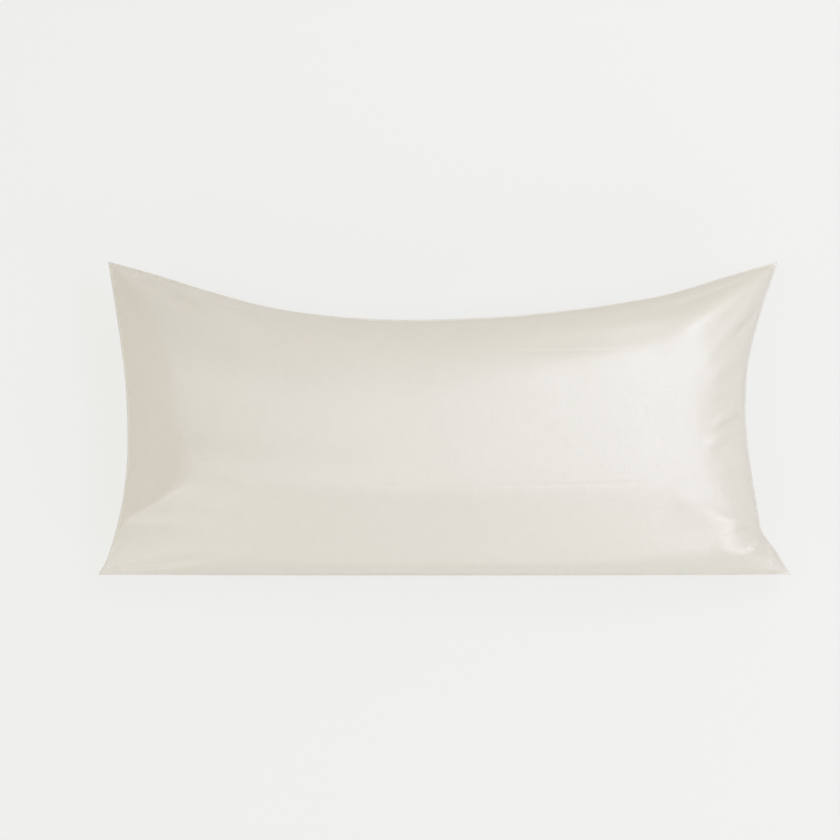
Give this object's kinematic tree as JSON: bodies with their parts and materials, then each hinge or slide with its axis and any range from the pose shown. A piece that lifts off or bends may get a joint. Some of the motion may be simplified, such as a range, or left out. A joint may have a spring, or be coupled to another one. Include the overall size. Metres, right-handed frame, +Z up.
{
  "type": "pillowcase",
  "caption": "Filled pillowcase lying on its back: closed envelope of ivory satin with a low crown, drawn-in sides and pointed corners",
  "frame": {"origin": "on the surface the case rests on, under the middle of its outline", "axes": "X runs along the case, Y runs across it from the straight long edge to the drawn-in long edge, Z points up out of its front"},
  "size_m": [1.0164, 0.4588, 0.1894],
  "materials": {
    "satin": "ivory satin weave with a soft sheen"
  },
  "bodies": {
    "root": {"pillowcase": "satin"}
  },
  "joints": []
}
